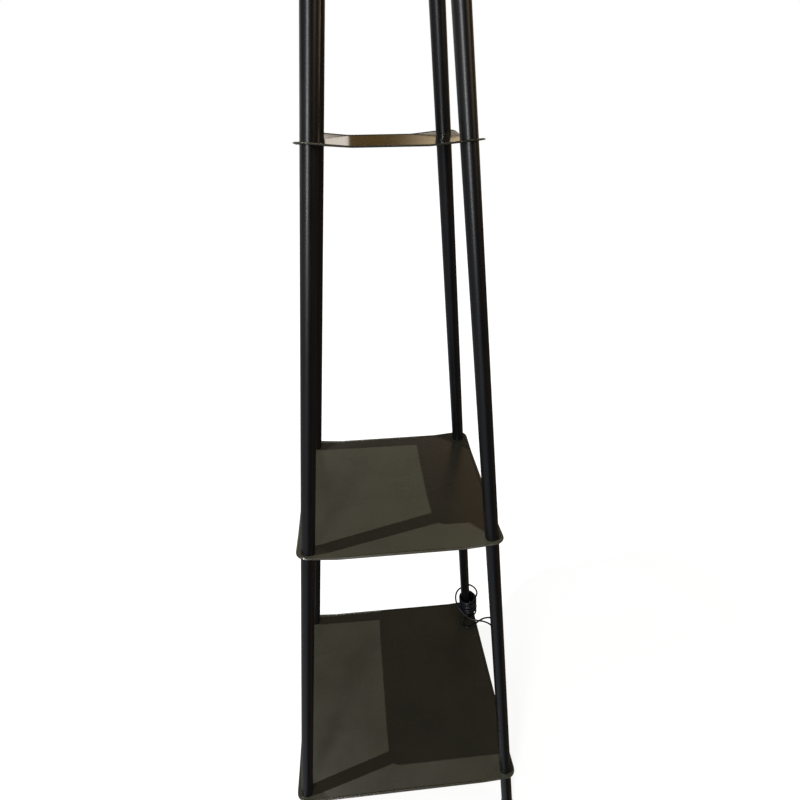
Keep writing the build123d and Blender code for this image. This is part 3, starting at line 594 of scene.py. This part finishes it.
def folded_sheet(name, sizes, height, half):
    """A rounded square sheet whose corners turn up over a straight fold, square to the posts.

    The grid is polar: one way goes round the outline, the other from the middle out over the
    top, round the edge and back to the middle underneath. Along each ray the stations are laid
    so that the fold's two lines fall on grid lines. With d the distance along a diagonal, the
    sheet is flat up to the fold, rises as a circular arc over the fold's width, and goes on at
    the tilt. The higher of the two diagonals' profiles counts. A bead in the shape of one wave
    runs along the outline.
    """
    middle = height - EAR * math.tan(TILT) - FOLD * math.tan(TILT / 2)
    core = half - SHEET_MARGIN
    reach = core * math.sqrt(2)
    bend = FOLD / math.sin(TILT)
    flat = reach - EAR - FOLD
    angle = (np.arange(AROUND_SHEET) + 0.5) / AROUND_SHEET * 2 * np.pi
    toward = np.stack([np.cos(angle), np.sin(angle)], axis=-1)
    leg = np.sort(np.abs(toward), axis=1)
    short, long = leg[:, 0], leg[:, 1]
    straight = half / long
    nearest = core * (short + long)
    corner = nearest + np.sqrt(np.maximum(SHEET_MARGIN**2 - 2 * core**2 + nearest**2, 0))
    outline = np.where(straight * short <= core, straight, corner)
    diagonal = (short + long) / math.sqrt(2)
    room = BEAD_ROOM * sizes.rim_width
    fold_start = np.minimum(flat / diagonal, outline - 2 * room)
    fold_end = np.minimum((flat + FOLD) / diagonal, outline - room)
    edge = outline - sizes.thickness / 2
    rings = [fold_start[:, None] * np.linspace(0, 1, FLAT_RINGS)]
    for start, end, count in (
        (fold_start, fold_end, FOLD_RINGS),
        (fold_end, edge - room, EAR_RINGS),
        (edge - room, edge, BEAD_RINGS),
    ):
        rings.append(start[:, None] + (end - start)[:, None] * np.linspace(0, 1, count)[1:])
    out = np.concatenate(rings, axis=1)
    turn = np.linspace(np.pi / 2, -np.pi / 2, EDGE_RINGS)[1:-1]
    round_edge = edge[:, None] + sizes.thickness / 2 * np.cos(turn)
    radius = np.concatenate([out, round_edge, out[:, ::-1]], axis=1)
    side = np.concatenate([np.ones(out.shape[1]), np.sin(turn), -np.ones(out.shape[1])])
    x = radius * toward[:, :1]
    y = radius * toward[:, 1:]

    def rise(distance):
        """The height over the flat middle at a distance along a diagonal."""
        past = np.clip(distance - flat, 0, FOLD)
        beyond = np.maximum(distance - flat - FOLD, 0)
        return bend - np.sqrt(bend**2 - past**2) + beyond * math.tan(TILT)

    lift = np.maximum(rise(np.abs(x + y) / math.sqrt(2)), rise(np.abs(x - y) / math.sqrt(2)))
    into_rim = np.clip((radius - edge[:, None] + sizes.rim_width) / sizes.rim_width, 0, 1)
    bead = sizes.rim_rise * (1 - np.cos(2 * np.pi * into_rim)) / 2
    z = middle + lift + bead + side[None, :] * sizes.thickness / 2
    return grid_mesh(name, np.stack([x, y, z], axis=-1), True, False)


class LAMP_OT_dress_fittings(bpy.types.Operator):
    """Give the studs, nuts, washers, harp, lamp holder and switch their metals and plastics"""

    bl_idname = "lamp.dress_fittings"
    bl_label = "Dress the fittings"

    def execute(self, context):
        finish = context.scene.lamp_finish
        zinc = metal("zinc_plate", (0.60, 0.61, 0.62), 0.38)
        nickel = metal("satin_nickel", (0.70, 0.68, 0.64), 0.26, (1, 1, 0.05))
        dress(
            ("joining_studs", "top_studs", "top_washers", "nipple_washer", "nipple_locknut"), zinc
        )
        dress(("centre_nipple",), zinc)
        dress(("cap_nuts",), paint("nut_black", finish.post_paint, 0.30, dust=0.0))
        dress(("harp_saddle", "harp_ferrules", "harp", "finial"), nickel)
        dress(("socket_cap", "socket_shell"), metal("socket_nickel", (0.66, 0.65, 0.62), 0.2))
        dress(("insulating_sleeve",), paper("sleeve_paper", (0.30, 0.19, 0.10)))
        dress(("socket_body", "switch_knob"), plastic("black_phenolic", (0.012,) * 3, 0.22, 0.05))
        dress(
            ("centre_contact", "switch_shaft", "plug_blades", "bulb_tip"),
            metal("brass", (0.78, 0.57, 0.27), 0.3),
        )
        dress(("screw_shell", "bulb_cap"), metal("aluminium", (0.80, 0.80, 0.81), 0.3, (1, 1, 9)))
        dress(("shade_bottom_ring", "shade_spider"), paint("white_wire", (0.78, 0.77, 0.74), 0.4))
        return {"FINISHED"}


class LAMP_OT_dress_bulb(bpy.types.Operator):
    """Give the bulb its white base and milky dome"""

    bl_idname = "lamp.dress_bulb"
    bl_label = "Dress the bulb"

    def execute(self, context):
        dress(("bulb_base",), plastic("bulb_white", (0.78, 0.78, 0.77), 0.35, 0.05))
        dress(("bulb_dome",), milky("bulb_diffuser", (0.88, 0.88, 0.86)))
        return {"FINISHED"}


class LAMP_OT_make_shade(bpy.types.Operator):
    """Make the shade's skin: linen on a stiff lining, with taped rims and a lapped seam"""

    bl_idname = "lamp.make_shade"
    bl_label = "Make the shade"

    def execute(self, context):
        sizes = context.scene.lamp_shade
        finish = context.scene.lamp_finish
        low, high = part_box("shade_skin")
        bottom_radius = high.x
        places = triples(NODES["shade_skin"].data.vertices, "co")
        top = places[places[:, 2] > high.z - 1e-4]
        top_radius = float(np.hypot(top[:, 0], top[:, 1]).max())
        skin = skin_wall(sizes, low.z, high.z, bottom_radius, top_radius)
        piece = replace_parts(skin, "shade_skin")
        cloth = linen("shade_linen", finish.shade_cloth, sizes.thread_pitch)
        piece.data.materials.append(cloth)
        piece.data.materials.append(paper("shade_lining", finish.shade_lining))
        faces = piece.data.polygons
        normals = triples(faces, "normal")
        centres = triples(faces, "center")
        faces_in = (normals[:, :2] * centres[:, :2]).sum(axis=1) < 0
        above = centres[:, 2] > low.z + sizes.tape_width
        below = centres[:, 2] < high.z - sizes.tape_width
        faces.foreach_set("material_index", (faces_in & above & below).astype(np.int32))
        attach(piece, "stand")
        return {"FINISHED"}


def skin_wall(sizes, bottom, top, bottom_radius, top_radius):
    """A closed conical wall: radius falls evenly with height, plus a tape step at each rim.

    Going once round the section, the first half climbs the outside and the second half comes
    down the inside, where the tape is thinner. The lapped seam is a smooth step in radius over a
    narrow arc at the back. The UV map is in metres, round the wall and up.
    """
    around = 288
    up = 60
    wall = 0.001
    rim_radius = 0.0012
    tape_step = 0.0003
    inner_tape = 0.6
    seam_step = 0.0005
    seam_rise = 0.0005
    share = np.linspace(0, 1, up)
    height = bottom + share * (top - bottom)
    cone = bottom_radius + (top_radius - bottom_radius) * share
    rim = np.minimum(height - bottom, top - height)
    tape = sizes.tape_rise / (1 + np.exp((rim - sizes.tape_width) / tape_step))
    rounding = np.sqrt(np.clip(1 - (1 - np.clip(rim / rim_radius, 0, 1)) ** 2, 0, 1))
    outside = cone - wall / 2 + (wall / 2 + tape) * rounding
    inside = cone - wall / 2 - (wall / 2 + tape * inner_tape) * rounding
    radius = np.concatenate([outside, inside[::-1]])
    level = np.concatenate([height, height[::-1]])
    is_outside = np.concatenate([np.ones(up), np.zeros(up)])
    angle = np.linspace(0, 2 * np.pi, around, endpoint=False)
    arc = (angle - np.pi / 2) * bottom_radius
    lap = 1 / (1 + np.exp((np.abs(arc) - sizes.seam_width / 2) / seam_step)) * seam_rise
    rings = radius[None, :] + lap[:, None] * is_outside[None, :]
    points = np.stack(
        [
            rings * np.cos(angle)[:, None],
            rings * np.sin(angle)[:, None],
            np.broadcast_to(level, rings.shape),
        ],
        axis=-1,
    )
    count = 2 * up
    u = np.arange(around + 1) / around * 2 * np.pi * bottom_radius
    v = np.concatenate([height, height[::-1], height[:1]])
    i = np.arange(around)[:, None]
    j = np.arange(count)[None, :]
    uvs = np.stack(
        [
            np.stack([u[i] + 0 * j, v[j] + 0 * i], axis=-1),
            np.stack([u[i + 1] + 0 * j, v[j] + 0 * i], axis=-1),
            np.stack([u[i + 1] + 0 * j, v[j + 1] + 0 * i], axis=-1),
            np.stack([u[i] + 0 * j, v[j + 1] + 0 * i], axis=-1),
        ],
        axis=2,
    )
    return grid_mesh("shade_cloth", points, True, True, uvs)


def winding_points(sizes):
    """Turns round the post, clockwise from above and evenly downwards.

    A turn's radius is the turn radius less a slack that grows on the side away from the post.
    The slack follows a sine that steps by the golden angle from turn to turn, so neighbours
    lie in and out of each other. A polygon of so many points draws its curve in by the cosine
    of half a step, squared, and the radius allows for that.
    """
    sweep = WINDING_START - WINDING_END + 2 * math.pi * sizes.turns
    turns = sweep / (2 * math.pi)
    count = int(round(turns * POINTS_PER_TURN)) + 1
    along_turns = np.linspace(0, 1, count)
    angle = WINDING_START - sweep * along_turns
    free = (1 + np.cos(angle - FREE_SIDE)) / 2
    wander = np.sin(GOLDEN_TURN * turns * along_turns)
    radius = sizes.turn_radius - sizes.slack * (1 + wander) * free
    radius = radius / math.cos(math.pi / POINTS_PER_TURN) ** 2
    height = WINDING_TOP + (WINDING_FOOT - WINDING_TOP) * along_turns
    local = np.stack(
        [
            WINDING_CENTRE[0] + radius * np.cos(angle),
            WINDING_CENTRE[1] + radius * np.sin(angle),
            height,
        ],
        axis=-1,
    )
    return along(POST_FOOT, POST_OUT, POST_SIDE, POST_UP, local)


class LAMP_OT_make_cord(bpy.types.Operator):
    """Lay the cord: out of the post, round it in a winding, and on in loose loops to the plug"""

    bl_idname = "lamp.make_cord"
    bl_label = "Make the cord"

    def execute(self, context):
        sizes = context.scene.lamp_cord
        foot = np.array(POST_FOOT)
        points = np.concatenate(
            [foot + np.array(LEAD_IN), winding_points(sizes), foot + np.array(TAIL)]
        )
        curve = bpy.data.curves.new("cord", "CURVE")
        curve.dimensions = "3D"
        curve.bevel_depth = sizes.diameter / 2
        curve.bevel_resolution = 5
        curve.resolution_u = 8
        curve.use_fill_caps = True
        spline = curve.splines.new("NURBS")
        spline.points.add(len(points) - 1)
        spline.points.foreach_set("co", np.c_[points, np.ones(len(points))].ravel())
        spline.order_u = 3
        spline.use_endpoint_u = True
        cord = bpy.data.objects.new("cord", curve)
        context.scene.collection.objects.link(cord)
        rubber = sheath("cord_sheath", context.scene.lamp_finish.cord_sheath)
        curve.materials.append(rubber)
        dress(("inner_lead", "cord_grommets", "plug_body"), rubber)
        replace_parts(cord, "cord_lead_in", "cord_coil", "cord_tail")
        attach(cord, "stand")
        return {"FINISHED"}


class LAMP_OT_set_stage(bpy.types.Operator):
    """Set the pale floor, the soft light and the photograph's camera"""

    bl_idname = "lamp.set_stage"
    bl_label = "Set the stage"

    def execute(self, context):
        context.scene.view_settings.view_transform = "Standard"
        add_camera(context.scene)
        add_floor()
        add_world(context.scene)
        add_lights()
        return {"FINISHED"}


def add_camera(scene):
    """The photograph's camera, from its place, its three turns and its focal length in pixels."""
    data = bpy.data.cameras.new("photo_camera")
    data.sensor_width = SENSOR
    data.lens = SENSOR * FOCAL_PIXELS / PHOTO_SIZE
    data.shift_x = (PHOTO_SIZE / 2 - PHOTO_CENTRE_X) / PHOTO_SIZE
    data.clip_end = 100
    camera = bpy.data.objects.new("photo_camera", data)
    scene.collection.objects.link(camera)
    ahead = Vector(
        (
            math.sin(CAMERA_YAW) * math.cos(CAMERA_PITCH),
            math.cos(CAMERA_YAW) * math.cos(CAMERA_PITCH),
            -math.sin(CAMERA_PITCH),
        )
    )
    level_right = Vector((math.cos(CAMERA_YAW), -math.sin(CAMERA_YAW), 0))
    level_up = level_right.cross(ahead)
    right = level_right * math.cos(CAMERA_ROLL) + level_up * math.sin(CAMERA_ROLL)
    up = level_up * math.cos(CAMERA_ROLL) - level_right * math.sin(CAMERA_ROLL)
    turn = Matrix((right, up, -ahead)).transposed()
    camera.matrix_world = Matrix.Translation(CAMERA_PLACE) @ turn.to_4x4()
    scene.camera = camera


def ray_is(tree, *kinds):
    """1 for a ray of one of the kinds, which are outputs of Light Path, and 0 for all others."""
    path = tree.nodes.new("ShaderNodeLightPath")
    share = 0.0
    for kind in kinds:
        share = maths(tree, "MAXIMUM", share, path.outputs[kind])
    return share


def add_floor():
    """A pale floor that is white to the camera where no shadow falls, and all white far off.

    Mirrored rays pass through it, because the black posts mirror a dark room in the photograph.
    """
    half = FLOOR_HALF
    mesh = bpy.data.meshes.new("floor")
    corners = [(-half, -half, 0), (half, -half, 0), (half, half, 0), (-half, half, 0)]
    mesh.from_pydata(corners, [], [(0, 1, 2, 3)])
    floor = bpy.data.objects.new("floor", mesh)
    bpy.context.scene.collection.objects.link(floor)
    material = bpy.data.materials.new("pale_floor")
    material.use_nodes = True
    tree = material.node_tree
    tree.nodes.clear()
    output = tree.nodes.new("ShaderNodeOutputMaterial")
    body = tree.nodes.new("ShaderNodeBsdfDiffuse")
    body.inputs["Color"].default_value = (*FLOOR_COLOUR, 1)
    glow = tree.nodes.new("ShaderNodeEmission")
    glow.inputs["Color"].default_value = (1, 1, 1, 1)
    place = tree.nodes.new("ShaderNodeTexCoord")
    away = length_of(tree, place.outputs["Object"])
    tree.links.new(remap(tree, away, *FLOOR_GLOW_AT, *FLOOR_GLOW), glow.inputs["Strength"])
    both = tree.nodes.new("ShaderNodeAddShader")
    seen = ray_is(tree, "Is Camera Ray", "Is Glossy Ray", "Is Transmission Ray")
    choice = tree.nodes.new("ShaderNodeMixShader")
    tree.links.new(seen, choice.inputs["Fac"])
    tree.links.new(body.outputs["BSDF"], both.inputs[0])
    tree.links.new(glow.outputs["Emission"], both.inputs[1])
    tree.links.new(body.outputs["BSDF"], choice.inputs[1])
    tree.links.new(both.outputs["Shader"], choice.inputs[2])
    tree.links.new(choice.outputs["Shader"], output.inputs["Surface"])
    mesh.materials.append(material)
    floor.visible_glossy = False


def pane_share(tree, ceiling, corners, softness):
    """How far a place on the ceiling lies inside a pane: 1 inside, 0 outside.

    The corners run anticlockwise. For each side the distance inwards is a dot product with the
    side's normal, and the pane is the product of those distances, each clamped to 0 and 1.
    """
    share = 1.0
    for first, second in zip(corners, corners[1:] + corners[:1]):
        side = (Vector(second) - Vector(first)).normalized()
        inward = Vector((-side.y, side.x))
        distance = tree.nodes.new("ShaderNodeVectorMath")
        distance.operation = "DOT_PRODUCT"
        distance.inputs[1].default_value = (inward.x, inward.y, -inward.dot(Vector(first)))
        tree.links.new(ceiling, distance.inputs[0])
        inside = remap(tree, distance.outputs["Value"], -softness, softness, 0.0, 1.0)
        share = maths(tree, "MULTIPLY", share, inside)
    return share


def ceiling_place(tree):
    """A direction as a place on a ceiling one metre up, x / z, y / z and 1, and y / z alone."""
    parts = direction_parts(tree)
    height = remap(tree, parts["Z"], 0.01, 1.0, 0.01, 1.0)
    joined = tree.nodes.new("ShaderNodeCombineXYZ")
    joined.inputs["Z"].default_value = 1.0
    across = maths(tree, "DIVIDE", parts["X"], height)
    away = maths(tree, "DIVIDE", parts["Y"], height)
    tree.links.new(across, joined.inputs["X"])
    tree.links.new(away, joined.inputs["Y"])
    return joined.outputs["Vector"], away


def direction_parts(tree):
    """The x, y and z of the direction in which a ray leaves for the world."""
    place = tree.nodes.new("ShaderNodeTexCoord")
    parts = tree.nodes.new("ShaderNodeSeparateXYZ")
    tree.links.new(place.outputs["Generated"], parts.inputs["Vector"])
    return parts.outputs


def above_horizon(tree):
    """1 for a direction that rises away from the camera, and 0 for all others."""
    parts = direction_parts(tree)
    rises = remap(tree, parts["Z"], 0.0, 0.01, 0.0, 1.0)
    away = remap(tree, parts["Y"], -0.1, 0.1, 0.0, 1.0)
    return maths(tree, "MULTIPLY", rises, away)


def side_walls(tree):
    """The rest of the room by its side, which is a direction's x over its level length."""
    parts = direction_parts(tree)
    level = tree.nodes.new("ShaderNodeCombineXYZ")
    tree.links.new(parts["X"], level.inputs["X"])
    tree.links.new(parts["Y"], level.inputs["Y"])
    length = remap(tree, length_of(tree, level.outputs["Vector"]), 0.01, 1.0, 0.01, 1.0)
    across = maths(tree, "DIVIDE", parts["X"], length)
    left = mix_colours(tree, remap(tree, across, -0.35, 0.15, 0.0, 1.0), ROOM_LEFT, ROOM_MIDDLE)
    return mix_colours(tree, remap(tree, across, 0.55, 0.85, 0.0, 1.0), left, ROOM_RIGHT)


def add_world(scene):
    """White to the camera, a room with windows to mirrored rays, and even light to the rest."""
    world = bpy.data.worlds.new("studio")
    scene.world = world
    world.use_nodes = True
    tree = world.node_tree
    tree.nodes.clear()
    output = tree.nodes.new("ShaderNodeOutputWorld")
    ceiling, away = ceiling_place(tree)
    far = remap(tree, away, DISTANCE_STARTS, DISTANCE_STARTS + 1.0, 0.0, 1.0)
    walls = mix_colours(tree, far, CEILING, DISTANT_BROWN)
    for corners, colour, softness in PANES:
        share = pane_share(tree, ceiling, corners, softness)
        walls = mix_colours(tree, share, walls, colour)
    walls = mix_colours(tree, above_horizon(tree), side_walls(tree), walls)
    light = mix_colours(tree, ray_is(tree, "Is Glossy Ray"), EVEN_LIGHT, walls)
    plain = ray_is(tree, "Is Camera Ray", "Is Transmission Ray")
    sky = tree.nodes.new("ShaderNodeBackground")
    sky.inputs["Strength"].default_value = 1.0
    tree.links.new(mix_colours(tree, plain, light, WHITE), sky.inputs["Color"])
    tree.links.new(sky.outputs["Background"], output.inputs["Surface"])


def add_lights():
    """A small ceiling lamp, which casts the crisp shadows, a tall soft window and a warm fill."""
    ceiling = bpy.data.lights.new("ceiling_lamp", "POINT")
    ceiling.shadow_soft_size = CEILING_LAMP_RADIUS
    ceiling.energy = CEILING_LAMP_WATTS
    lamp = bpy.data.objects.new("ceiling_lamp", ceiling)
    bpy.context.scene.collection.objects.link(lamp)
    lamp.location = CEILING_LAMP_PLACE
    for name, (place, size, watts, colour) in SOFT_LAMPS.items():
        data = bpy.data.lights.new(name, "AREA")
        data.shape = "RECTANGLE"
        data.size, data.size_y = size
        data.energy = watts
        data.color = colour
        lamp = bpy.data.objects.new(name, data)
        bpy.context.scene.collection.objects.link(lamp)
        lamp.location = place
        aim = Vector(SOFT_LAMPS_AIM) - Vector(place)
        lamp.rotation_euler = aim.to_track_quat("-Z", "Y").to_euler()


# ============================== panel and registration ==============================
OPERATORS = (
    LAMP_OT_dress_posts,
    LAMP_OT_make_shelves,
    LAMP_OT_dress_fittings,
    LAMP_OT_dress_bulb,
    LAMP_OT_make_shade,
    LAMP_OT_make_cord,
    LAMP_OT_set_stage,
)
GROUPS = {
    "lamp_finish": LampFinish,
    "lamp_sheets": LampSheets,
    "lamp_cord": LampCord,
    "lamp_shade": LampShade,
}


class LAMP_PT_pieces(bpy.types.Panel):
    """Lists the lamp's sizes, colours and pieces"""

    bl_idname = "LAMP_PT_pieces"
    bl_label = "Shelf floor lamp"
    bl_space_type = "VIEW_3D"
    bl_region_type = "UI"
    bl_category = "Lamp"

    def draw(self, context):
        for name, group in GROUPS.items():
            box = self.layout.box()
            for field in group.__annotations__:
                box.prop(getattr(context.scene, name), field)
        for operator in OPERATORS:
            self.layout.operator(operator.bl_idname)


def register():
    for group in GROUPS.values():
        bpy.utils.register_class(group)
    for name, group in GROUPS.items():
        setattr(bpy.types.Scene, name, PointerProperty(type=group))
    for operator in OPERATORS:
        bpy.utils.register_class(operator)
    bpy.utils.register_class(LAMP_PT_pieces)


def unregister():
    bpy.utils.unregister_class(LAMP_PT_pieces)
    for operator in reversed(OPERATORS):
        bpy.utils.unregister_class(operator)
    for name, group in reversed(GROUPS.items()):
        delattr(bpy.types.Scene, name)
        bpy.utils.unregister_class(group)


def main():
    register()
    for operator in OPERATORS:
        family, action = operator.bl_idname.split(".")
        getattr(getattr(bpy.ops, family), action)()


if __name__ == "__main__":
    main()
